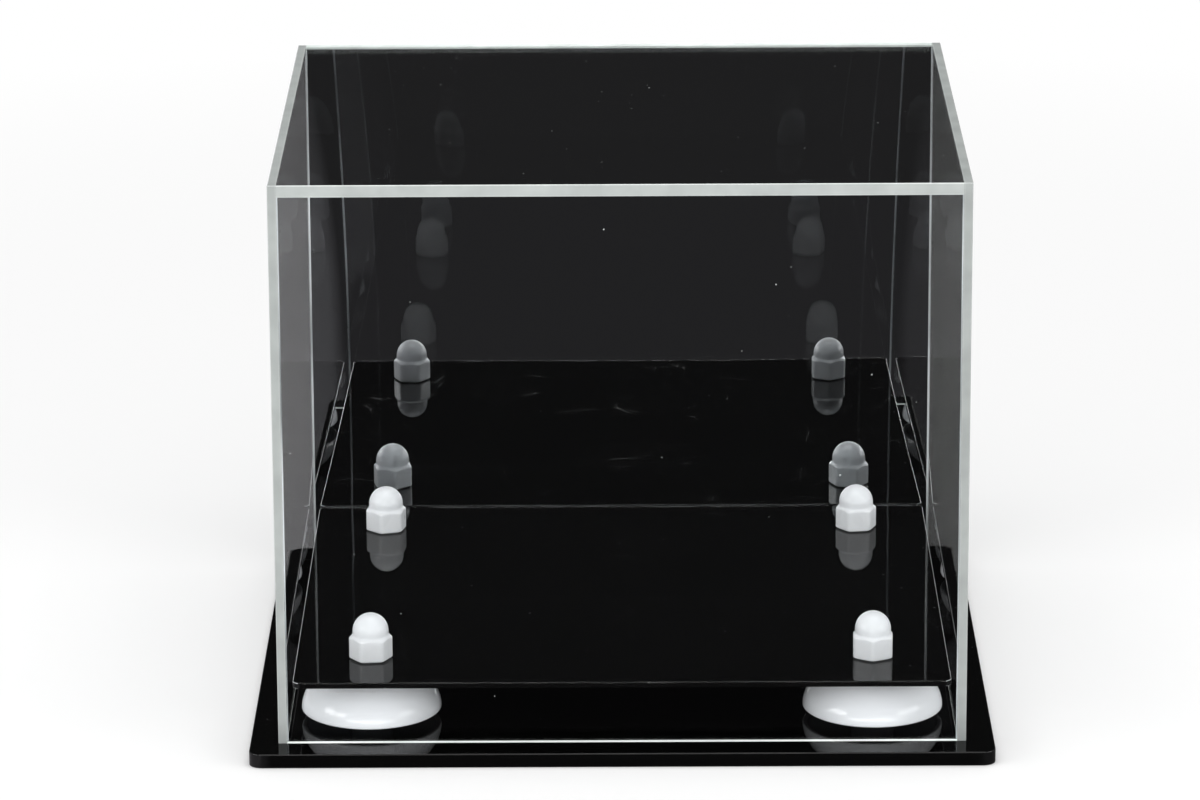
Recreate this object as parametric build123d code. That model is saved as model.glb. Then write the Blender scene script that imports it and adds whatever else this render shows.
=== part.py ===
from build123d import *
import os
from math import cos, radians, sqrt, tan

# A display case for one cap. A black base plate carries a raised black platform on four white
# risers, held by a screw, a nut and a white nut cap at each corner. A clear cover with a mirror
# for its back drops over the platform and stands on the base plate.
# Millimetres. X runs left to right across the front, Y from front to back, and Z up from the
# underside of the base plate. The case is centred on X and Y.

# Cover, bonded from five sheets
cover_width = 267.0
cover_depth = 235.0
cover_height = 223.5  # from the top of the base plate to the top of the cover
side_thickness = 3.4
front_thickness = 3.4
mirror_thickness = 3.4
top_thickness = 4.6
sheet_edge_break = 0.25  # taken off the outer edges of the sheets
bond_thickness = 0.05  # of the cement between two sheets
cover_seat_gap = 0.05  # under the cover, which stands loose on the base plate

# Base plate
base_thickness = 5.6
base_side_margin = 11.0  # stands out past the cover on the left and right
base_end_margin = 12.8  # stands out past the cover at the front and back
base_corner_radius = 5.0
plate_edge_round = 0.4  # polished edges of the base plate and the platform

# Platform
platform_thickness = 2.4
platform_side_gap = 2.2  # from the platform to the inside of a side sheet
platform_end_gap = 1.0  # from the platform to the front sheet and to the mirror
platform_corner_radius = 3.0

# Risers, hollow domes with a foot in the middle
riser_height = 21.2  # from the base plate to the underside of the platform
riser_radius = 27.5
riser_rim_lift = 3.3  # the rim's height above the base plate
riser_landing_radius = 11.8  # the flat top that the platform rests on
riser_wall = 2.2
riser_foot_wall = 4.2  # round the screw hole
riser_side_inset = 1.9  # from the rim to the platform's left or right edge
riser_end_inset = 2.6  # from the rim to the platform's front or back edge

# Screws, countersunk in the underside of the base plate
screw_radius = 4.0
screw_hole_gap = 0.3  # all round the screw, through plates and risers
screw_head_cone = 4.0  # height of the head's 90 degree cone
screw_head_land = 0.4  # the straight rim of the head
screw_end = 4.3  # stands out above the nut
screw_end_chamfer = 0.8
head_seat_gap = 0.1  # between the head and its countersink
socket_width = 5.0  # across the flats of the hexagon socket
socket_depth = 2.6

# Nuts
nut_width = 13.0  # across the flats
nut_height = 6.5
nut_corner_angle = 30.0  # the slope that its corners are ground to
thread_gap = 0.05  # between the nut's bore and the screw

# Nut caps
cap_wall = 1.05  # of the hexagon skirt, at its flats
cap_grip_gap = 0.15  # between the skirt and each flat of the nut
cap_headroom = 1.5  # above the nut and above the screw's end
cap_recess_roof = 0.4  # from the top of the hexagon recess to the shoulder
cap_shoulder_height = 1.4
cap_shoulder_step = 0.65  # the dome's side stands in from the skirt's flats
cap_crown = 6.1  # above the bore, at the middle of the dome
cap_bore_gap = 1.0  # all round the end of the screw

# Each nut comes to rest turned by its own angle, seen from above
nut_turns = {"front_left": 5.0, "front_right": 28.0, "rear_left": 17.0, "rear_right": 8.0}

# Sizes that follow from the ones above
inner_width = cover_width - 2 * side_thickness
base_width = cover_width + 2 * base_side_margin
base_depth = cover_depth + 2 * base_end_margin
platform_width = inner_width - 2 * platform_side_gap
platform_front = -cover_depth / 2 + front_thickness + platform_end_gap
platform_back = cover_depth / 2 - mirror_thickness - platform_end_gap
platform_depth = platform_back - platform_front
platform_middle = (platform_front + platform_back) / 2
platform_underside = base_thickness + riser_height
platform_top = platform_underside + platform_thickness
cover_top = base_thickness + cover_height
screw_x = platform_width / 2 - riser_side_inset - riser_radius
screw_y = platform_depth / 2 - riser_end_inset - riser_radius
screw_hole_radius = screw_radius + screw_hole_gap
screw_head_radius = screw_radius + screw_head_cone
screw_tip = platform_top + nut_height + screw_end
corners = {
    "front_left": (-screw_x, platform_middle - screw_y),
    "front_right": (screw_x, platform_middle - screw_y),
    "rear_left": (-screw_x, platform_middle + screw_y),
    "rear_right": (screw_x, platform_middle + screw_y),
}


def block(low, high):
    """A box between its lowest and its highest corner."""
    size = [b - a for a, b in zip(low, high)]
    middle = [(a + b) / 2 for a, b in zip(low, high)]
    return Pos(*middle) * Box(*size)


def column(radius, z_low, z_high):
    """An upright cylinder on the Z axis."""
    return Pos(0, 0, (z_low + z_high) / 2) * Cylinder(radius, z_high - z_low)


def hexagon(width, z_low, z_high):
    """An upright hexagonal prism with one pair of flats facing front and back."""
    outline = RegularPolygon(width / 2, 6, major_radius=False)
    return Pos(0, 0, z_low) * extrude(outline, z_high - z_low)


def hexagon_corner(width):
    """The radius to the corners of a hexagon from its width across the flats."""
    return width / 2 / cos(radians(30))


def turned(points):
    """A solid turned about Z from the radius and height of each corner of its profile."""
    outline = Polyline(*[(radius, 0, height) for radius, height in points], close=True)
    return revolve(make_face(outline), Axis.Z)


def plate(width, depth, thickness, rounding):
    """A sheet on Z = 0 with round corners and polished edges."""
    sheet = extrude(RectangleRounded(width, depth, rounding), thickness)
    flats = sheet.faces().filter_by(Axis.Z)
    return fillet(flats.edges(), plate_edge_round)


def at_corners(shape):
    """Copies of a shape at the four screws."""
    return [Pos(x, y, 0) * shape for x, y in corners.values()]


def head_cone(gap):
    """A screw head with its land, larger all round by a gap."""
    radius = screw_head_radius + gap
    top = screw_head_land + screw_head_cone
    return turned([
        (0, 0),
        (radius, 0),
        (radius, screw_head_land),
        (screw_radius + gap, top),
        (0, top),
    ])


def base_plate():
    plain = plate(base_width, base_depth, base_thickness, base_corner_radius)
    hole = column(screw_hole_radius, 0, base_thickness) + head_cone(head_seat_gap)
    return plain - at_corners(hole)


def platform():
    plain = plate(platform_width, platform_depth, platform_thickness, platform_corner_radius)
    plain = Pos(0, platform_middle, platform_underside) * plain
    return plain - at_corners(column(screw_hole_radius, platform_underside, platform_top))


def dome(radius, height, cut):
    """The part of an upright half ellipsoid below a level cut, standing on Z = 0."""
    quarter = Ellipse(radius, height) & Pos(radius / 2, cut / 2) * Rectangle(radius, cut)
    return revolve(Plane.XZ * quarter, Axis.Z)


def riser():
    rim = base_thickness + riser_rim_lift
    cut = riser_height - riser_rim_lift
    full_height = cut / sqrt(1 - (riser_landing_radius / riser_radius) ** 2)
    outside = dome(riser_radius, full_height, cut)
    hollow = dome(riser_radius - riser_wall, full_height - riser_wall, cut - riser_wall)
    foot = column(screw_hole_radius + riser_foot_wall, base_thickness, platform_underside)
    bore = column(screw_hole_radius, base_thickness, platform_underside)
    return Pos(0, 0, rim) * (outside - hollow) + foot - bore


def screw():
    shank = column(screw_radius, 0, screw_tip)
    shank = chamfer(shank.edges().group_by(Axis.Z)[-1], screw_end_chamfer)
    return shank + head_cone(0) - hexagon(socket_width, 0, socket_depth)


def nut():
    corner = hexagon_corner(nut_width)
    ground = corner - nut_width / 2
    blank = column(corner, 0, nut_height)
    blank = chamfer(blank.edges().filter_by(GeomType.CIRCLE),
                    ground * tan(radians(nut_corner_angle)), ground)
    body = blank & hexagon(nut_width, 0, nut_height)
    return Pos(0, 0, platform_top) * (body - column(screw_radius + thread_gap, 0, nut_height))


def nut_cap():
    recess_width = nut_width + 2 * cap_grip_gap
    recess_top = nut_height + cap_headroom
    skirt_width = recess_width + 2 * cap_wall
    skirt_corner = hexagon_corner(skirt_width)
    skirt_top = recess_top + cap_recess_roof
    shoulder_top = skirt_top + cap_shoulder_height
    dome_radius = skirt_width / 2 - cap_shoulder_step
    bore_top = recess_top + screw_end
    dome_base = bore_top + cap_crown - dome_radius
    envelope = turned([
        (0, 0),
        (skirt_corner, 0),
        (skirt_corner, skirt_top),
        (dome_radius, shoulder_top),
        (0, shoulder_top),
    ])
    skirt = envelope & hexagon(skirt_width, 0, shoulder_top)
    crown = Pos(0, 0, dome_base) * dome(dome_radius, dome_radius, dome_radius)
    outside = skirt + column(dome_radius, 0, dome_base) + crown
    recess = hexagon(recess_width, 0, recess_top)
    bore = column(screw_radius + cap_bore_gap, 0, bore_top)
    return Pos(0, 0, platform_top) * (outside - recess - bore)


def sheet(low, high):
    """A sheet of the cover, its edges broken where they lie along an edge of the whole cover."""
    whole = block(low, high)
    near = sheet_edge_break / 2

    def is_outer(edge):
        middle = edge.center()
        at_side = cover_width / 2 - abs(middle.X) < near
        at_end = cover_depth / 2 - abs(middle.Y) < near
        at_top = cover_top - middle.Z < near
        return at_side + at_end + at_top >= 2

    outer = whole.edges().filter_by(is_outer)
    return chamfer(outer, sheet_edge_break) if outer else whole


def cover_sheets():
    """The cover: its side sheets run the full height and depth, and the others fit between."""
    x_out, x_in, y_out = cover_width / 2, inner_width / 2, cover_depth / 2
    x_fit = x_in - bond_thickness
    floor = base_thickness + cover_seat_gap
    under_top = cover_top - top_thickness
    z_fit = under_top - bond_thickness
    return {
        "front_panel": sheet((-x_fit, -y_out, floor), (x_fit, front_thickness - y_out, z_fit)),
        "left_panel": sheet((-x_out, -y_out, floor), (-x_in, y_out, cover_top)),
        "right_panel": sheet((x_in, -y_out, floor), (x_out, y_out, cover_top)),
        "top_panel": sheet((-x_fit, -y_out, under_top), (x_fit, y_out, cover_top)),
        "mirror_panel": sheet((-x_fit, y_out - mirror_thickness, floor), (x_fit, y_out, z_fit)),
    }


def pieces():
    """Every piece of the case in its place, by name."""
    made = {"base_plate": base_plate(), "platform": platform()}
    for kind, shape in (("riser", riser()), ("screw", screw())):
        for corner, (x, y) in corners.items():
            made[f"{kind}_{corner}"] = Pos(x, y, 0) * shape
    for kind, shape in (("nut", nut()), ("nut_cap", nut_cap())):
        for corner, (x, y) in corners.items():
            made[f"{kind}_{corner}"] = Pos(x, y, 0) * Rot(0, 0, nut_turns[corner]) * shape
    made.update(cover_sheets())
    return made


os.makedirs("parts", exist_ok=True)
for name, shape in pieces().items():
    export_step(shape, f"parts/{name}.step")
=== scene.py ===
# Display case for one cap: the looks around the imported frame.
# Metres. X runs left to right across the front, Y to the mirror at the back, Z up from the base's underside.
import math

import bmesh
import bpy
from mathutils import Matrix, Vector


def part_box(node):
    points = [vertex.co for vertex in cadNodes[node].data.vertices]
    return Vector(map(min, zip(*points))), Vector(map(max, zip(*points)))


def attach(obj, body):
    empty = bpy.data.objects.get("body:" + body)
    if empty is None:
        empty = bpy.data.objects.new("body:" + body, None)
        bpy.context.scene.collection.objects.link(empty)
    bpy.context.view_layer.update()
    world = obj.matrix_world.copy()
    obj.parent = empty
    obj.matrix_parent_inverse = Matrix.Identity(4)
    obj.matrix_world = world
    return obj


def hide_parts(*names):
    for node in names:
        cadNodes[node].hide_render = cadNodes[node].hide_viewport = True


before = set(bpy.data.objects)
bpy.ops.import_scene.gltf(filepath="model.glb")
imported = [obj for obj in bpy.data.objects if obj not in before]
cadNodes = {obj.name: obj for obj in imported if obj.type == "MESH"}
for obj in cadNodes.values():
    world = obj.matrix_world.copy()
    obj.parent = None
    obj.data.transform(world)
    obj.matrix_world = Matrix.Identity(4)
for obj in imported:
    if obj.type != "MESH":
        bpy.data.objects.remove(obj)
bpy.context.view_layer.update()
cornerNames = ("front_left", "front_right", "rear_left", "rear_right")
print("frame loaded:", len(cadNodes), "nodes")


# Helpers for node trees
def connect(tree, socket, value):  # a socket takes a link or a plain value
    if isinstance(value, bpy.types.NodeSocket):
        tree.links.new(value, socket)
    else:
        socket.default_value = value


def addNode(tree, kind, inputs=None, **settings):
    node = tree.nodes.new(kind)
    for name, value in settings.items():
        setattr(node, name, value)
    for key, value in (inputs or {}).items():
        connect(tree, node.inputs[key], value)
    return node


def calc(tree, operation, *values, clamp=False):
    node = addNode(tree, "ShaderNodeMath", dict(enumerate(values)), operation=operation, use_clamp=clamp)
    return node.outputs[0]


def product(tree, first, *others):
    for value in others:
        first = calc(tree, "MULTIPLY", first, value)
    return first


def rest(tree, value):  # what is left of one
    return calc(tree, "SUBTRACT", 1.0, value)


def vectorCalc(tree, operation, *values):
    node = addNode(tree, "ShaderNodeVectorMath", dict(enumerate(values)), operation=operation)
    return node.outputs["Value" if operation in ("DOT_PRODUCT", "LENGTH") else "Vector"]


def split(tree, vector):
    return addNode(tree, "ShaderNodeSeparateXYZ", {0: vector}).outputs


def spread(tree, value, low, high, toLow=0.0, toHigh=1.0):
    values = {"Value": value, "From Min": low, "From Max": high, "To Min": toLow, "To Max": toHigh}
    return addNode(tree, "ShaderNodeMapRange", values).outputs[0]


def blendColors(tree, factor, first, second):
    return addNode(tree, "ShaderNodeMix", {0: factor, 6: first, 7: second}, data_type="RGBA").outputs[2]


def blendValues(tree, factor, first, second):
    return addNode(tree, "ShaderNodeMix", {0: factor, 2: first, 3: second}).outputs[0]


def objectPlace(tree):
    return addNode(tree, "ShaderNodeTexCoord").outputs["Object"]


def faceNormal(tree):
    return addNode(tree, "ShaderNodeNewGeometry").outputs["True Normal"]


def noise(tree, place, scale, detail):
    values = {"Vector": place, "Scale": scale, "Detail": detail}
    return addNode(tree, "ShaderNodeTexNoise", values).outputs[0]


def newGroup(name, treeType, inputs, outputs):
    tree = bpy.data.node_groups.new(name, treeType)
    for side, sockets in (("INPUT", inputs), ("OUTPUT", outputs)):
        for label, kind in sockets.items():
            tree.interface.new_socket(name=label, in_out=side, socket_type="NodeSocket" + kind)
    return tree, addNode(tree, "NodeGroupInput"), addNode(tree, "NodeGroupOutput")


def useGroup(tree, group, **inputs):
    named = {key.replace("_", " "): value for key, value in inputs.items()}
    return addNode(tree, "ShaderNodeGroup", named, node_tree=group).outputs


# Effects that several materials share
effects = {
    "faceFrom": 0.9,  # a normal this close to a sheet's axis is on a face, and any other on an edge
    "smearFrom": 0.5,
    "smearTo": 0.75,
    "smearDetail": 4.0,
    "crackScale": 38.0,
    "hairWidth": 0.0045,
    "breakScale": 55.0,
    "breakFrom": 0.6,
    "breakDetail": 2.0,
    "waveScale": 16.0,
    "waveDetail": 1.0,
    "grainDetail": 3.0,
    "driftDetail": 1.0,
}
noiseLow, noiseHigh = 0.3, 0.7  # most of a noise texture lies between these


def sheetEdgeGroup():
    inputs = {"Axis": "Vector", "Middle": "Float", "Half": "Float", "Border": "Float"}
    outputs = {"Edge": "Float", "Highlight Rim": "Float"}
    tree, given, result = newGroup("sheetEdge", "ShaderNodeTree", inputs, outputs)
    values = given.outputs
    facing = calc(tree, "ABSOLUTE", vectorCalc(tree, "DOT_PRODUCT", faceNormal(tree), values["Axis"]))
    edge = calc(tree, "LESS_THAN", facing, effects["faceFrom"])
    along = vectorCalc(tree, "DOT_PRODUCT", objectPlace(tree), values["Axis"])
    fromMiddle = calc(tree, "ABSOLUTE", calc(tree, "SUBTRACT", along, values["Middle"]))
    inset = calc(tree, "SUBTRACT", values["Half"], fromMiddle)
    # the band along the edge's borders, where the sheets paint a highlight
    rim = calc(tree, "SUBTRACT", 1.0, calc(tree, "DIVIDE", inset, values["Border"]), clamp=True)
    connect(tree, result.inputs["Edge"], edge)
    connect(tree, result.inputs["Highlight Rim"], product(tree, edge, rim))
    return tree


def dustGroup():
    inputs = {"Spacing": "Float", "Size": "Float", "Share": "Float"}
    tree, given, result = newGroup("dustSpecks", "ShaderNodeTree", inputs, {"Specks": "Float"})
    values = given.outputs
    scale = calc(tree, "DIVIDE", 1.0, values["Spacing"])
    cells = addNode(tree, "ShaderNodeTexVoronoi", {"Vector": objectPlace(tree), "Scale": scale}).outputs
    chance = addNode(tree, "ShaderNodeSeparateColor", {"Color": cells["Color"]}).outputs
    reach = product(tree, calc(tree, "DIVIDE", values["Size"], values["Spacing"]), chance["Red"])
    speck = calc(tree, "LESS_THAN", cells["Distance"], reach)
    kept = calc(tree, "LESS_THAN", chance["Green"], values["Share"])
    connect(tree, result.inputs["Specks"], product(tree, speck, kept))
    return tree


def handlingGroup():
    outputs = {"Smear": "Float", "Scratch": "Float", "Wave": "Float"}
    tree, given, result = newGroup("handlingMarks", "ShaderNodeTree", {"Smear Size": "Float"}, outputs)
    place = objectPlace(tree)
    smearScale = calc(tree, "DIVIDE", 1.0, given.outputs["Smear Size"])
    smears = noise(tree, place, smearScale, effects["smearDetail"])
    cracks = addNode(tree, "ShaderNodeTexVoronoi", {"Vector": place, "Scale": effects["crackScale"]},
                     feature="DISTANCE_TO_EDGE").outputs["Distance"]
    breaks = noise(tree, place, effects["breakScale"], effects["breakDetail"])
    hair = product(tree, calc(tree, "LESS_THAN", cracks, effects["hairWidth"]),
                   calc(tree, "GREATER_THAN", breaks, effects["breakFrom"]))
    connect(tree, result.inputs["Smear"], spread(tree, smears, effects["smearFrom"], effects["smearTo"]))
    connect(tree, result.inputs["Scratch"], hair)
    connect(tree, result.inputs["Wave"], noise(tree, place, effects["waveScale"], effects["waveDetail"]))
    return tree


def mouldedGroup():
    inputs = {"Grain": "Float", "Drift": "Float"}
    outputs = {"Height": "Float", "Tone": "Float"}
    tree, given, result = newGroup("mouldedSkin", "ShaderNodeTree", inputs, outputs)
    place = objectPlace(tree)
    for size, detail, output in (("Grain", "grainDetail", "Height"), ("Drift", "driftDetail", "Tone")):
        scale = calc(tree, "DIVIDE", 1.0, given.outputs[size])
        connect(tree, result.inputs[output], noise(tree, place, scale, effects[detail]))
    return tree


sheetEdge = sheetEdgeGroup()
dustSpecks = dustGroup()
handlingMarks = handlingGroup()
mouldedSkin = mouldedGroup()
print("shared effects ready")


# Materials
def newMaterial(name):
    material = bpy.data.materials.new(name)
    material.use_nodes = True
    material.node_tree.nodes.clear()
    return material, material.node_tree, addNode(material.node_tree, "ShaderNodeOutputMaterial")


def principled(tree, **inputs):
    named = {key.replace("_", " "): value for key, value in inputs.items()}
    return addNode(tree, "ShaderNodeBsdfPrincipled", named).outputs[0]


def bump(tree, height, depth):
    return addNode(tree, "ShaderNodeBump", {"Height": height, "Distance": depth}).outputs[0]


def mixShaders(tree, factor, first, second):
    return addNode(tree, "ShaderNodeMixShader", {0: factor, 1: first, 2: second}).outputs[0]


def hasBounced(tree, kind):  # whether a ray has met a surface of this kind on its way
    bounces = addNode(tree, "ShaderNodeLightPath").outputs[kind + " Depth"]
    return calc(tree, "GREATER_THAN", bounces, 0.5)


clearSheet = {
    "glassTint": (0.985, 0.995, 0.99, 1.0),
    "index": 1.49,
    "roughness": 0.0,  # of the edges too, because the exported sheet has one roughness
    # painted light: the edges are painted pale for the light that the sheets carry to them
    "edgePaintedLight": (0.42, 0.445, 0.435, 1.0),
    "rimPaintedHighlight": (0.53, 0.555, 0.545, 1.0),
    "highlightRimWidth": 0.0005,
    "rippleScale": 90.0,
    "rippleDetail": 2.0,
    "rippleDark": 0.9,
    "ripplePale": 1.06,
    "paintedInnerGain": 2.6,  # painted light: the edges are painted paler where they are seen through the sheet than from outside
    # painted light: edges that face upwards are painted paler
    "paintedTopGain": 1.45,
    "topFrom": 0.4,  # how far a face looks upwards, where the painted top light starts and where it is full
    "topTo": 0.8,
    "dustSpacing": 0.006,
    "dustSize": 0.00035,
    "dustShare": 0.3,
    "dustCover": 0.35,
    # painted shade: each sheet's edges are painted darker or paler for the light that reaches them
    "panels": {
        "front_panel": {"axis": (0, 1, 0), "paintedEdgeLevel": 1.0},
        "left_panel": {"axis": (1, 0, 0), "paintedEdgeLevel": 0.88},
        "right_panel": {"axis": (1, 0, 0), "paintedEdgeLevel": 0.84},
        "top_panel": {"axis": (0, 0, 1), "paintedEdgeLevel": 1.02},
    },
}


def sheetMarks(tree, node, axis):  # where a sheet's edges are, and the rims along them that take a painted highlight
    low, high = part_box(node)
    across = Vector(axis)
    return useGroup(tree, sheetEdge, Axis=axis, Middle=(low + high).dot(across) / 2,
                    Half=(high - low).dot(across) / 2, Border=clearSheet["highlightRimWidth"])


def dust(tree, sheet):
    return useGroup(tree, dustSpecks, Spacing=sheet["dustSpacing"], Size=sheet["dustSize"],
                    Share=sheet["dustShare"])["Specks"]


def edgePaintedLight(tree, marks, paintedLevel):  # the sawn and flamed edge of a sheet, which gathers light: that light is painted into its colour, with a painted highlight along its rims, painted paler from inside the sheet and on upward faces, and painted darker or paler sheet by sheet
    ripple = noise(tree, objectPlace(tree), clearSheet["rippleScale"], clearSheet["rippleDetail"])
    # the edge's random ripple, scaled by the sheet's level of painted light
    dark, pale = clearSheet["rippleDark"] * paintedLevel, clearSheet["ripplePale"] * paintedLevel
    shade = spread(tree, ripple, noiseLow, noiseHigh, dark, pale)
    geometry = addNode(tree, "ShaderNodeNewGeometry").outputs
    # painted light: paler where the edge is seen from inside the sheet
    inner = spread(tree, geometry["Backfacing"], 0.0, 1.0, 1.0, clearSheet["paintedInnerGain"])
    # painted light: paler on faces that look upwards
    upward = split(tree, geometry["True Normal"])["Z"]
    top = spread(tree, upward, clearSheet["topFrom"], clearSheet["topTo"], 1.0, clearSheet["paintedTopGain"])
    # a painted highlight along the rims of each edge
    color = blendColors(tree, marks["Highlight Rim"], clearSheet["edgePaintedLight"], clearSheet["rimPaintedHighlight"])
    scaling = {0: color, "Scale": product(tree, shade, inner, top)}
    return addNode(tree, "ShaderNodeVectorMath", scaling, operation="SCALE").outputs[0]


def clearMaterial(node):
    panel = clearSheet["panels"][node]
    material, tree, output = newMaterial(node + "Acrylic")
    marks = sheetMarks(tree, node, panel["axis"])
    glass = principled(tree, Base_Color=clearSheet["glassTint"], Roughness=clearSheet["roughness"],
                       IOR=clearSheet["index"], Transmission_Weight=1.0)
    toLamp = addNode(tree, "ShaderNodeLightPath").outputs["Is Shadow Ray"]
    clear = addNode(tree, "ShaderNodeBsdfTransparent").outputs[0]
    window = mixShaders(tree, calc(tree, "MAXIMUM", toLamp, hasBounced(tree, "Diffuse")), glass, clear)
    # the edges, and the dust specks too, take the edge colour with its painted light
    edge = principled(tree, Base_Color=edgePaintedLight(tree, marks, panel["paintedEdgeLevel"]),
                      Roughness=clearSheet["roughness"], IOR=clearSheet["index"])
    specks = product(tree, dust(tree, clearSheet), clearSheet["dustCover"])
    solid = calc(tree, "MAXIMUM", marks["Edge"], specks)
    connect(tree, output.inputs["Surface"], mixShaders(tree, solid, window, edge))
    return material


mirrorSheet = {
    "silver": (0.8, 0.82, 0.83, 1.0),
    "bow": 0.00096,  # how far the middle of the sheet swells forwards, less and less towards the top
    "swellSize": 0.2,
    "swellDepth": 0.0004,
    "backPaint": (0.2, 0.21, 0.22, 1.0),
    "backPaintPale": (0.25, 0.26, 0.27, 1.0),
    "paintGrain": 0.0012,
    "paintDrift": 0.05,
    "paintDepth": 0.0001,
    "paintRoughness": 0.5,
    "dustColor": (0.22, 0.23, 0.24, 1.0),
    "dustRoughness": 0.8,
    "dustSpacing": 0.005,
    "dustSize": 0.00045,
    "dustShare": 0.4,
    "edgeRoughness": 0.28,
}


def mirrorBow(tree, place):
    low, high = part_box("mirror_panel")
    spot = split(tree, place)
    across = calc(tree, "POWER", calc(tree, "DIVIDE", spot["X"], high.x), 2.0)
    upward = calc(tree, "POWER", spread(tree, spot["Z"], low.z, high.z), 2.0)
    bow = product(tree, rest(tree, across), rest(tree, upward), mirrorSheet["bow"])
    swell = noise(tree, place, 1 / mirrorSheet["swellSize"], 0.0)
    return calc(tree, "ADD", bow, product(tree, swell, mirrorSheet["swellDepth"]))


def mirrorMaterial():  # one surface for silver, dust, paint and edges, so that the export keeps the silver
    low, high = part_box("mirror_panel")
    material, tree, output = newMaterial("mirrorAcrylic")
    marks = sheetMarks(tree, "mirror_panel", (0, 1, 0))
    isEdge = marks["Edge"]
    specks = dust(tree, mirrorSheet)
    place = objectPlace(tree)
    isBack = calc(tree, "GREATER_THAN", split(tree, place)["Y"], (low.y + high.y) / 2)
    skin = useGroup(tree, mouldedSkin, Grain=mirrorSheet["paintGrain"], Drift=mirrorSheet["paintDrift"])
    paint = blendColors(tree, skin["Tone"], mirrorSheet["backPaint"], mirrorSheet["backPaintPale"])
    color = blendColors(tree, specks, mirrorSheet["silver"], mirrorSheet["dustColor"])
    color = blendColors(tree, isBack, color, paint)
    # the mirror's edges take the sheets' edge colour, with its painted light and painted highlight
    color = blendColors(tree, isEdge, color, edgePaintedLight(tree, marks, 1.0))
    roughness = product(tree, specks, mirrorSheet["dustRoughness"])
    roughness = blendValues(tree, isBack, roughness, mirrorSheet["paintRoughness"])
    roughness = blendValues(tree, isEdge, roughness, mirrorSheet["edgeRoughness"])
    plastic = calc(tree, "MAXIMUM", isEdge, calc(tree, "MAXIMUM", isBack, specks))
    grain = product(tree, skin["Height"], mirrorSheet["paintDepth"])
    height = blendValues(tree, isBack, mirrorBow(tree, place), grain)
    surface = principled(tree, Base_Color=color, Metallic=rest(tree, plastic), Roughness=roughness,
                         Normal=bump(tree, height, 1.0))
    connect(tree, output.inputs["Surface"], surface)
    return material


blackSheet = {
    "color": (0.0016, 0.0016, 0.0016, 1.0),
    "index": 1.6,
    "roughness": 0.02,
    "smearRoughness": 0.05,
    "smearSize": 0.05,
    "scratchRoughness": 0.2,
    # a painted highlight on the rounded side edges, stronger on the platform than on the base
    "arrisHighlightColor": (0.5, 0.51, 0.52, 1.0),
    "arrisLow": 0.25,  # a rounded edge's normal leans by more than this, and by less than the next
    "arrisHigh": 0.97,
    "arrisSide": 0.2,
    "dustColor": (0.12, 0.12, 0.125, 1.0),
    "dustSpacing": 0.006,
    "dustSize": 0.0004,
    "dustShare": 0.35,
    "plates": {
        "base_plate": {"name": "baseAcrylic", "waveDepth": 0.00002, "arrisHighlightShare": 0.04},
        "platform": {"name": "platformAcrylic", "waveDepth": 0.00012, "arrisHighlightShare": 0.7},
    },
}


def arrisHighlightMask(tree):  # the rounded edges along the left and right sides, where a highlight is painted
    normal = split(tree, faceNormal(tree))
    level = calc(tree, "ABSOLUTE", normal["Z"])
    leaning = product(tree, calc(tree, "GREATER_THAN", level, blackSheet["arrisLow"]),
                      calc(tree, "LESS_THAN", level, blackSheet["arrisHigh"]))
    sideways = calc(tree, "GREATER_THAN", calc(tree, "ABSOLUTE", normal["X"]), blackSheet["arrisSide"])
    return product(tree, leaning, sideways)


def blackMaterial(node):
    plate = blackSheet["plates"][node]
    material, tree, output = newMaterial(plate["name"])
    marks = useGroup(tree, handlingMarks, Smear_Size=blackSheet["smearSize"])
    color = blendColors(tree, dust(tree, blackSheet), blackSheet["color"], blackSheet["dustColor"])
    # painted highlight along the rounded side edges
    paintedGlint = product(tree, arrisHighlightMask(tree), plate["arrisHighlightShare"])
    color = blendColors(tree, paintedGlint, color, blackSheet["arrisHighlightColor"])
    roughness = spread(tree, marks["Smear"], 0.0, 1.0, blackSheet["roughness"], blackSheet["smearRoughness"])
    scratched = product(tree, marks["Scratch"], blackSheet["scratchRoughness"])
    surface = principled(tree, Base_Color=color, Roughness=calc(tree, "MAXIMUM", roughness, scratched),
                         IOR=blackSheet["index"], Normal=bump(tree, marks["Wave"], plate["waveDepth"]))
    connect(tree, output.inputs["Surface"], surface)
    return material


whitePlastic = {
    "index": 1.49,
    "grain": 0.0009,
    "drift": 0.012,
    "glossiest": 0.85,  # these two are shares of a piece's roughness
    "dullest": 1.2,
    "glowDepth": 0.002,
    "riser": {
        "name": "riserPlastic",
        "color": (0.86, 0.88, 0.915, 1.0),
        "shade": (0.83, 0.85, 0.885, 1.0),
        "roughness": 0.14,
        "grainDepth": 0.000004,
        "waxiness": 0.4,
    },
    "nutCap": {
        "name": "nutCapPlastic",
        "color": (0.76, 0.78, 0.805, 1.0),
        "shade": (0.73, 0.75, 0.775, 1.0),
        "roughness": 0.3,
        "grainDepth": 0.00001,
        "waxiness": 0.6,
    },
}


def plasticMaterial(look):
    material, tree, output = newMaterial(look["name"])
    skin = useGroup(tree, mouldedSkin, Grain=whitePlastic["grain"], Drift=whitePlastic["drift"])
    glossiest, dullest = (look["roughness"] * whitePlastic[share] for share in ("glossiest", "dullest"))
    surface = principled(tree, Base_Color=blendColors(tree, skin["Tone"], look["color"], look["shade"]),
                         Roughness=spread(tree, skin["Tone"], noiseLow, noiseHigh, glossiest, dullest),
                         IOR=whitePlastic["index"], Normal=bump(tree, skin["Height"], look["grainDepth"]),
                         Subsurface_Weight=look["waxiness"], Subsurface_Scale=whitePlastic["glowDepth"],
                         Subsurface_Radius=(1.0, 1.0, 1.0))
    connect(tree, output.inputs["Surface"], surface)
    return material


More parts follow.
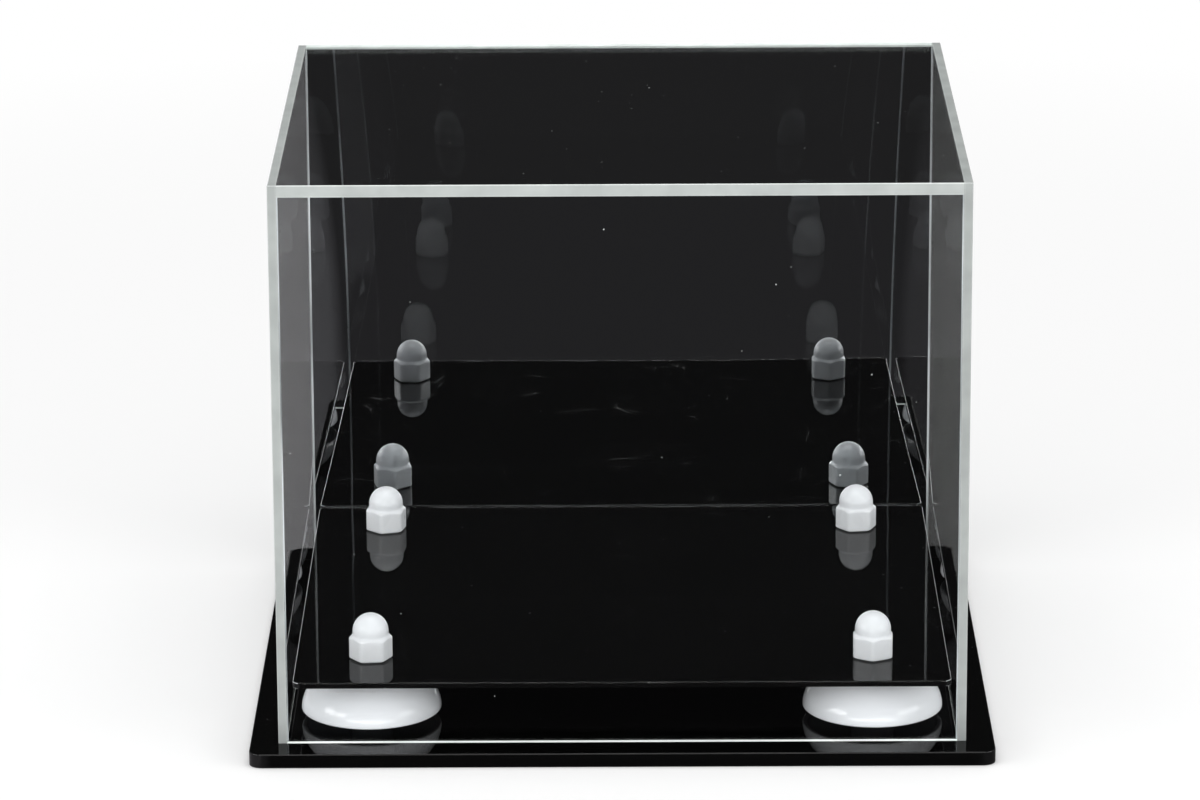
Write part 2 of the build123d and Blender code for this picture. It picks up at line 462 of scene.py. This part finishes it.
zincSteel = {
    "color": (0.5, 0.51, 0.53, 1.0),
    "paleColor": (0.66, 0.67, 0.68, 1.0),
    "smoothest": 0.26,
    "dullest": 0.42,
    "grain": 0.0004,
    "drift": 0.004,
    "grainDepth": 0.00002,
}


def steelMaterial():
    material, tree, output = newMaterial("zincSteel")
    skin = useGroup(tree, mouldedSkin, Grain=zincSteel["grain"], Drift=zincSteel["drift"])
    gloss = spread(tree, skin["Height"], noiseLow, noiseHigh, zincSteel["smoothest"], zincSteel["dullest"])
    color = blendColors(tree, skin["Tone"], zincSteel["color"], zincSteel["paleColor"])
    surface = principled(tree, Base_Color=color, Metallic=1.0, Roughness=gloss,
                         Normal=bump(tree, skin["Height"], zincSteel["grainDepth"]))
    connect(tree, output.inputs["Surface"], surface)
    return material


bondBead = {
    "leg": 0.0004,
    "gap": 0.00003,  # clear of the sheets that it joins
    "endGap": 0.0002,
    "arcSteps": 5,
    "index": 1.49,
    "roughness": 0.2,
    "clearColor": (0.25, 0.27, 0.28, 1.0),
    "paleColor": (0.8, 0.83, 0.86, 1.0),
    "drift": 0.06,
    "toneFrom": 0.35,
    "toneTo": 0.65,
}


def cementMaterial():
    material, tree, output = newMaterial("bondLine")
    skin = useGroup(tree, mouldedSkin, Drift=bondBead["drift"])
    share = spread(tree, skin["Tone"], bondBead["toneFrom"], bondBead["toneTo"])
    color = blendColors(tree, share, bondBead["clearColor"], bondBead["paleColor"])
    surface = principled(tree, Base_Color=color, Roughness=bondBead["roughness"], IOR=bondBead["index"])
    connect(tree, output.inputs["Surface"], surface)
    return material


def dress(nodeName, material):
    slots = cadNodes[nodeName].data.materials
    if slots:
        for index in range(len(slots)):
            slots[index] = material
    else:
        slots.append(material)


for panel in clearSheet["panels"]:
    dress(panel, clearMaterial(panel))
dress("mirror_panel", mirrorMaterial())
for plate in blackSheet["plates"]:
    dress(plate, blackMaterial(plate))
riserFinish = plasticMaterial(whitePlastic["riser"])
capFinish = plasticMaterial(whitePlastic["nutCap"])
steel = steelMaterial()
bondLine = cementMaterial()
for corner in cornerNames:
    dress("screw_" + corner, steel)
    dress("nut_" + corner, steel)
print("materials ready")

# Turned pieces, set on the four screws. Hexagon flats can cut into them.
turning = {
    "flatDegrees": (30, 90, 150),  # where the three pairs of flats face
    "weldDistance": 1e-6,
    "creaseDegrees": 32,
    "plainFlat": 1.0,  # outside the piece, so that no flat is cut
    "plainPower": 24.0,
}


def profileGrid(tree, profile, sides):  # a grid, with the angle, radius and height that its points go to
    profileSize = addNode(tree, "GeometryNodeAttributeDomainSize", {"Geometry": profile})
    count = profileSize.outputs["Point Count"]
    columns = calc(tree, "ADD", sides, 1.0)
    grid = addNode(tree, "GeometryNodeMeshGrid",
                   {"Size X": 1.0, "Size Y": 1.0, "Vertices X": columns, "Vertices Y": count})
    place = addNode(tree, "GeometryNodeInputPosition").outputs[0]
    spot = split(tree, place)
    turn = product(tree, calc(tree, "ADD", spot["X"], 0.5), math.tau)
    row = product(tree, calc(tree, "ADD", spot["Y"], 0.5), calc(tree, "SUBTRACT", count, 1.0))
    sampled = {"Geometry": profile, "Value": place, "Index": calc(tree, "ROUND", row)}
    sample = addNode(tree, "GeometryNodeSampleIndex", sampled, data_type="FLOAT_VECTOR")
    outline = split(tree, sample.outputs[0])
    return grid.outputs["Mesh"], turn, outline["X"], outline["Z"]


def hexagonShare(tree, turn, power):  # a hexagon's reach at an angle, for flats at a distance of one
    total = 0.0
    for degrees in turning["flatDegrees"]:
        towards = calc(tree, "COSINE", calc(tree, "SUBTRACT", turn, math.radians(degrees)))
        total = calc(tree, "ADD", total, calc(tree, "POWER", calc(tree, "ABSOLUTE", towards), power))
    return calc(tree, "POWER", total, calc(tree, "DIVIDE", -1.0, power))


def turnedTree():
    inputs = {"Profile": "Geometry", "Corners": "Object", "Sides": "Int", "Outer Flat": "Float",
              "Inner Flat": "Float", "Inner Reach": "Float", "Inner Height": "Float", "Softness": "Float",
              "Corner Power": "Float", "Finish": "Material"}
    tree, given, result = newGroup("turnedAtCorners", "GeometryNodeTree", inputs, {"Pieces": "Geometry"})
    values = given.outputs
    grid, turn, radius, height = profileGrid(tree, values["Profile"], values["Sides"])
    inside = product(tree, calc(tree, "LESS_THAN", radius, values["Inner Reach"]),
                     calc(tree, "LESS_THAN", height, values["Inner Height"]))
    flat = calc(tree, "ADD", product(tree, inside, values["Inner Flat"]),
                product(tree, rest(tree, inside), values["Outer Flat"]))
    hexagon = product(tree, flat, hexagonShare(tree, turn, values["Corner Power"]))
    cut = calc(tree, "SMOOTH_MIN", radius, hexagon, values["Softness"])
    point = addNode(tree, "ShaderNodeCombineXYZ", {
        "X": product(tree, cut, calc(tree, "COSINE", turn)),
        "Y": product(tree, cut, calc(tree, "SINE", turn)),
        "Z": height})
    shaped = addNode(tree, "GeometryNodeSetPosition", {"Geometry": grid, "Position": point.outputs[0]})
    welded = addNode(tree, "GeometryNodeMergeByDistance",
                     {"Geometry": shaped.outputs[0], "Distance": turning["weldDistance"]})
    places = addNode(tree, "GeometryNodeObjectInfo", {"Object": values["Corners"]})
    angle = addNode(tree, "GeometryNodeInputNamedAttribute", {"Name": "turn"}, data_type="FLOAT")
    facing = addNode(tree, "ShaderNodeCombineXYZ", {"Z": angle.outputs[0]})
    copies = addNode(tree, "GeometryNodeInstanceOnPoints", {
        "Points": places.outputs["Geometry"], "Instance": welded.outputs[0], "Rotation": facing.outputs[0]})
    real = addNode(tree, "GeometryNodeRealizeInstances", {0: copies.outputs[0]})
    smooth = addNode(tree, "GeometryNodeSetShadeSmooth", {"Geometry": real.outputs[0]})
    painted = addNode(tree, "GeometryNodeSetMaterial",
                      {"Geometry": smooth.outputs[0], "Material": values["Finish"]})
    connect(tree, result.inputs["Pieces"], painted.outputs[0])
    return tree


def cornerPoints(kind, turns):  # one point under each node of a kind, with the angle that it is turned by
    mesh = bpy.data.meshes.new(kind + "Corners")
    spots = []
    for corner in cornerNames:
        low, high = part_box(f"{kind}_{corner}")
        spots.append(((low.x + high.x) / 2, (low.y + high.y) / 2, low.z))
    mesh.from_pydata(spots, [], [])
    mesh.attributes.new("turn", "FLOAT", "POINT").data.foreach_set("value", turns)
    return bpy.data.objects.new(kind + "Corners", mesh)


def rounded(corners, steps=6):  # an outline from its corners, each with the radius it is rounded to
    points = []
    count = len(corners)
    for index, (x, z, radius) in enumerate(corners):
        here = Vector((x, z))
        if radius == 0 or index in (0, count - 1):
            points.append(here)
            continue
        before, after = (Vector(corners[index + step][:2]) - here for step in (-1, 1))
        half = before.angle(after) / 2
        reach = radius / math.tan(half)
        centre = here + (before.normalized() + after.normalized()).normalized() * radius / math.sin(half)
        start, end = (here + side.normalized() * reach - centre for side in (before, after))
        for step in range(steps + 1):
            points.append(centre + start.slerp(end, step / steps).normalized() * radius)
    return points


def buildTurned(name, outline, corners, values):
    mesh = bpy.data.meshes.new(name + "Outline")
    mesh.from_pydata([(point.x, 0.0, point.y) for point in outline], [], [])
    piece = bpy.data.objects.new(name, mesh)
    for item in (piece, corners):
        bpy.context.scene.collection.objects.link(item)
    modifier = piece.modifiers.new("turned", "NODES")
    modifier.node_group = turnedAtCorners
    values = {"Corners": corners, **values}
    for socket in turnedAtCorners.interface.items_tree:
        if socket.in_out == "INPUT" and socket.name in values:
            modifier[socket.identifier] = values[socket.name]
    bpy.context.view_layer.update()
    ready = piece.evaluated_get(bpy.context.evaluated_depsgraph_get())
    finished = bpy.data.meshes.new_from_object(ready)
    piece.modifiers.remove(modifier)
    piece.data = finished
    bpy.data.objects.remove(corners)
    bm = bmesh.new()
    bm.from_mesh(finished)
    bmesh.ops.recalc_face_normals(bm, faces=bm.faces)
    bm.to_mesh(finished)
    bm.free()
    finished.set_sharp_from_angle(angle=math.radians(turning["creaseDegrees"]))
    return piece


turnedAtCorners = turnedTree()

riserForm = {
    "rimLift": 0.0033,
    "landingRadius": 0.0118,
    "wall": 0.0022,
    "footWall": 0.0042,
    "boreRadius": 0.0043,
    "rimRound": 0.0007,
    "footRound": 0.0004,
    "arcSteps": 26,
    "sides": 144,
}


def riserOutline():  # from the middle of the bore, down and round the outside, and back down to it
    low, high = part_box("riser_front_left")
    radius, height = (high.x - low.x) / 2, high.z - low.z
    rim, wall, landing = riserForm["rimLift"], riserForm["wall"], riserForm["landingRadius"]
    foot = riserForm["boreRadius"] + riserForm["footWall"]
    crown = (height - rim) / math.sqrt(1 - (landing / radius) ** 2)
    ceiling = height - wall
    inner, innerCrown = radius - wall, crown - wall
    innerLanding = inner * math.sqrt(1 - ((ceiling - rim) / innerCrown) ** 2)
    steps = riserForm["arcSteps"]
    outside, inside = [], []
    for step in range(1, steps):
        share = step / steps
        angle = share * math.acos(landing / radius)
        outside.append((radius * math.cos(angle), rim + crown * math.sin(angle), 0))
        angle = (1 - share) * math.acos(innerLanding / inner)
        inside.append((inner * math.cos(angle), rim + innerCrown * math.sin(angle), 0))
    bore, footRound, rimRound = riserForm["boreRadius"], riserForm["footRound"], riserForm["rimRound"]
    corners = [(bore, height / 2, 0), (bore, 0, footRound), (foot, 0, footRound), (foot, ceiling, footRound)]
    corners += [(innerLanding, ceiling, 0)] + inside
    corners += [(inner, rim, rimRound), (radius, rim, rimRound)] + outside[1:]
    corners += [(landing, height, footRound), (bore, height, footRound), (bore, height / 2, 0)]
    return rounded(corners)


riserValues = {
    "Sides": riserForm["sides"],
    "Outer Flat": turning["plainFlat"],
    "Inner Flat": turning["plainFlat"],
    "Softness": 0.0,
    "Corner Power": turning["plainPower"],
    "Finish": riserFinish,
}
risers = buildTurned("domedRisers", riserOutline(), cornerPoints("riser", (0.0, 0.0, 0.0, 0.0)), riserValues)
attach(risers, "base")
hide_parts(*("riser_" + corner for corner in cornerNames))
print("risers:", len(risers.data.polygons), "faces")

nutCapForm = {
    "turns": (5.0, 28.0, 17.0, 8.0),  # degrees, in the order of cornerNames
    "outerFlat": 0.0077,
    "innerFlat": 0.00665,
    "innerReach": 0.0082,  # between the recess's corners and the skirt's
    "recessTop": 0.008,
    "recessMargin": 1e-5,
    "skirtTop": 0.0084,
    "skirtRows": (0.15, 0.4, 0.65, 0.85),  # shares of the skirt's height
    "shoulderTop": 0.0098,
    "domeRadius": 0.00705,
    "boreRadius": 0.005,
    "boreTop": 0.0123,
    "skirtRound": 0.0003,
    "shoulderRound": 0.0011,
    "bottomChamfer": 0.0007,
    "softness": 0.0007,
    "cornerPower": 16.0,
    "sides": 144,
    "arcSteps": 20,
}


def nutCapOutline():  # from the roof of the bore, down and round the outside to the top of the dome
    low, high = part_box("nut_cap_front_left")
    top = high.z - low.z
    dome = nutCapForm["domeRadius"]
    domeBase = top - dome
    outer, inner = (nutCapForm[side] / math.cos(math.pi / 6) for side in ("outerFlat", "innerFlat"))
    shoulder, skirt, chamfer = (nutCapForm[key] for key in ("shoulderTop", "skirtTop", "bottomChamfer"))
    skirtRound, shoulderRound = nutCapForm["skirtRound"], nutCapForm["shoulderRound"]
    bore, boreTop, recess = nutCapForm["boreRadius"], nutCapForm["boreTop"], nutCapForm["recessTop"]
    corners = [(0, boreTop, 0), (bore, boreTop, skirtRound), (bore, recess, 0), (inner, recess, 0)]
    corners += [(inner, 0, skirtRound), (outer - chamfer, 0, 0), (outer, chamfer, 0)]
    corners += [(outer, skirt * share, 0) for share in nutCapForm["skirtRows"]]
    corners += [(outer, skirt, shoulderRound), (dome, shoulder, shoulderRound), (dome, domeBase, 0)]
    for step in range(1, nutCapForm["arcSteps"]):
        angle = step / nutCapForm["arcSteps"] * math.pi / 2
        corners.append((dome * math.cos(angle), domeBase + dome * math.sin(angle), 0))
    return rounded(corners + [(0, top, 0)])


capValues = {
    "Sides": nutCapForm["sides"],
    "Outer Flat": nutCapForm["outerFlat"],
    "Inner Flat": nutCapForm["innerFlat"],
    "Inner Reach": nutCapForm["innerReach"],
    "Inner Height": nutCapForm["recessTop"] + nutCapForm["recessMargin"],
    "Softness": nutCapForm["softness"],
    "Corner Power": nutCapForm["cornerPower"],
    "Finish": capFinish,
}
capTurns = [math.radians(angle) for angle in nutCapForm["turns"]]
nutCaps = buildTurned("nutCaps", nutCapOutline(), cornerPoints("nut_cap", capTurns), capValues)
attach(nutCaps, "base")
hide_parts(*("nut_cap_" + corner for corner in cornerNames))
print("nut caps:", len(nutCaps.data.polygons), "faces")


def beadSection():  # a fillet in the corner at zero, with legs of one
    section = [(0.0, 0.0)]
    for step in range(bondBead["arcSteps"] + 1):
        angle = step / bondBead["arcSteps"] * math.pi / 2
        section.append((1 - math.sin(angle), 1 - math.cos(angle)))
    return section


def bondBeads():  # a thin bead of cement in each upright inner corner of the cover
    left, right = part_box("left_panel")[1].x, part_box("right_panel")[0].x
    front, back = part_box("front_panel")[1].y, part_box("mirror_panel")[0].y
    gap, leg, endGap = (bondBead[key] for key in ("gap", "leg", "endGap"))
    bottom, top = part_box("front_panel")[0].z + endGap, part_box("front_panel")[1].z - endGap
    section = beadSection()
    bm = bmesh.new()
    for x, inX in ((left, 1), (right, -1)):
        for y, inY in ((front, 1), (back, -1)):
            rings = []
            for z in (bottom, top):
                spots = [(x + inX * (gap + leg * across), y + inY * (gap + leg * along), z)
                         for across, along in section]
                rings.append([bm.verts.new(spot) for spot in spots])
            for ring in rings:
                bm.faces.new(ring)
            for index in range(len(section)):
                following = (index + 1) % len(section)
                bm.faces.new((rings[0][index], rings[0][following], rings[1][following], rings[1][index]))
    bmesh.ops.recalc_face_normals(bm, faces=bm.faces)
    mesh = bpy.data.meshes.new("bondBeads")
    bm.to_mesh(mesh)
    bm.free()
    mesh.materials.append(bondLine)
    piece = bpy.data.objects.new("bondBeads", mesh)
    bpy.context.scene.collection.objects.link(piece)
    return piece


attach(bondBeads(), "cover")
print("bond beads ready")

# Studio
studio = {
    "floorSize": 14.0,
    "floorDrop": 0.00005,  # under the base plate, so that no two faces share one place
    "floorColor": (0.95, 0.95, 0.95, 1.0),
    "whiteFrom": 0.3,  # from the middle of the case, where the floor starts to turn plain white
    "whiteTo": 1.1,
    "mirroredFront": 0.02,  # the floor as the sheets mirror it, here in front of the case
    "mirroredSides": (0.3, 0.1),  # left and right
    "mirroredBehind": (1.2, 0.03),
    "behindFrom": 0.12,
    "sideLine": 0.1255,
    "sideSlope": 0.074,
    "sideRamp": 0.008,
    "ambient": 0.86,
    "dimRoom": 0.014,
    "roomColor": (1.0, 0.96, 1.02, 1.0),
    "lampTarget": (0.0, 0.0, 0.1),
    "lamps": {
        "sideLeft": {"place": (-1.68, -0.9, 0.55), "size": (1.3, 0.4), "power": 8.0},
        "sideRight": {"place": (1.68, -0.9, 0.55), "size": (1.3, 0.4), "power": 8.0},
        "frontFill": {"place": (0.0, -2.3, 0.21), "size": (3.6, 0.36), "power": 21.0},
        "topSoft": {"place": (0.0, -0.2, 1.9), "size": (1.4, 1.0), "power": 11.0},
    },
}


def mirroredLevel(tree, place):  # how bright the floor is to a ray that a sheet has mirrored
    spot = split(tree, place)
    isRight = calc(tree, "GREATER_THAN", spot["X"], 0.0)
    isBehind = calc(tree, "GREATER_THAN", spot["Y"], studio["behindFrom"])
    slope = product(tree, spot["Y"], studio["sideSlope"])
    outward = calc(tree, "ADD", calc(tree, "ABSOLUTE", spot["X"]), slope)
    ramp = spread(tree, outward, studio["sideLine"], studio["sideLine"] + studio["sideRamp"])
    front = product(tree, ramp, spread(tree, isRight, 0.0, 1.0, *studio["mirroredSides"]))
    front = calc(tree, "MAXIMUM", front, studio["mirroredFront"])
    behind = spread(tree, isRight, 0.0, 1.0, *studio["mirroredBehind"])
    return blendValues(tree, isBehind, front, behind)


def makeFloor():
    mesh = bpy.data.meshes.new("floor")
    half = studio["floorSize"] / 2
    corners = [(-half, -half, 0), (half, -half, 0), (half, half, 0), (-half, half, 0)]
    mesh.from_pydata(corners, [], [(0, 1, 2, 3)])
    material, tree, output = newMaterial("floorPaper")
    place = objectPlace(tree)
    mirrored, lamplit = hasBounced(tree, "Glossy"), hasBounced(tree, "Diffuse")
    distance = vectorCalc(tree, "LENGTH", place)
    fade = product(tree, spread(tree, distance, studio["whiteFrom"], studio["whiteTo"]), rest(tree, lamplit))
    paper = addNode(tree, "ShaderNodeBsdfDiffuse", {"Color": studio["floorColor"]}).outputs[0]
    white = addNode(tree, "ShaderNodeEmission", {"Strength": 1.0}).outputs[0]
    glow = {"Color": studio["roomColor"], "Strength": mirroredLevel(tree, place)}
    dim = addNode(tree, "ShaderNodeEmission", glow).outputs[0]
    seen = mixShaders(tree, fade, paper, white)
    connect(tree, output.inputs["Surface"], mixShaders(tree, mirrored, seen, dim))
    mesh.materials.append(material)
    floor = bpy.data.objects.new("floor", mesh)
    bpy.context.scene.collection.objects.link(floor)
    floor.location.z = -studio["floorDrop"]


def makeWorld():  # white, but a dim room to mirrored rays
    world = bpy.data.worlds.new("studio")
    bpy.context.scene.world = world
    world.use_nodes = True
    tree = world.node_tree
    tree.nodes.clear()
    mirrored, lamplit = hasBounced(tree, "Glossy"), hasBounced(tree, "Diffuse")
    bright = product(tree, spread(tree, lamplit, 0.0, 1.0, 1.0, studio["ambient"]), rest(tree, mirrored))
    level = calc(tree, "ADD", bright, product(tree, mirrored, studio["dimRoom"]))
    sky = addNode(tree, "ShaderNodeBackground", {"Strength": level})
    connect(tree, addNode(tree, "ShaderNodeOutputWorld").inputs["Surface"], sky.outputs[0])


def makeLamps():
    target = Vector(studio["lampTarget"])
    for name, values in studio["lamps"].items():
        light = bpy.data.lights.new(name, "AREA")
        light.shape = "RECTANGLE"
        light.size, light.size_y = values["size"]
        light.energy = values["power"]
        lamp = bpy.data.objects.new(name, light)
        bpy.context.scene.collection.objects.link(lamp)
        lamp.location = values["place"]
        lamp.rotation_euler = (target - lamp.location).to_track_quat("-Z", "Y").to_euler()


makeFloor()
makeWorld()
makeLamps()

photoView = {
    "place": (-0.00142, -2.2705, 0.7811),
    "pitchDown": 16.479,  # degrees, as are the next two
    "yaw": -0.174,
    "roll": -0.287,
    "focalLength": 176.48,  # millimetres, on the sensor below
    "sensorWidth": 36.0,
    "clipEnd": 60.0,
}


def makeCamera():
    pitch, yaw, roll = (math.radians(photoView[key]) for key in ("pitchDown", "yaw", "roll"))
    ahead = Vector((math.sin(yaw) * math.cos(pitch), math.cos(yaw) * math.cos(pitch), -math.sin(pitch)))
    level = Vector((math.cos(yaw), -math.sin(yaw), 0))
    upright = level.cross(ahead)
    across = math.cos(roll) * level + math.sin(roll) * upright
    up = -math.sin(roll) * level + math.cos(roll) * upright
    data = bpy.data.cameras.new("photoCamera")
    data.lens = photoView["focalLength"]
    data.sensor_fit = "HORIZONTAL"
    data.sensor_width = photoView["sensorWidth"]
    data.clip_end = photoView["clipEnd"]
    camera = bpy.data.objects.new("photoCamera", data)
    bpy.context.scene.collection.objects.link(camera)
    turn = Matrix((across, up, -ahead)).transposed().to_4x4()
    camera.matrix_world = Matrix.Translation(photoView["place"]) @ turn
    bpy.context.scene.camera = camera


makeCamera()
bpy.context.scene.view_settings.view_transform = "Standard"
print("studio and camera ready")
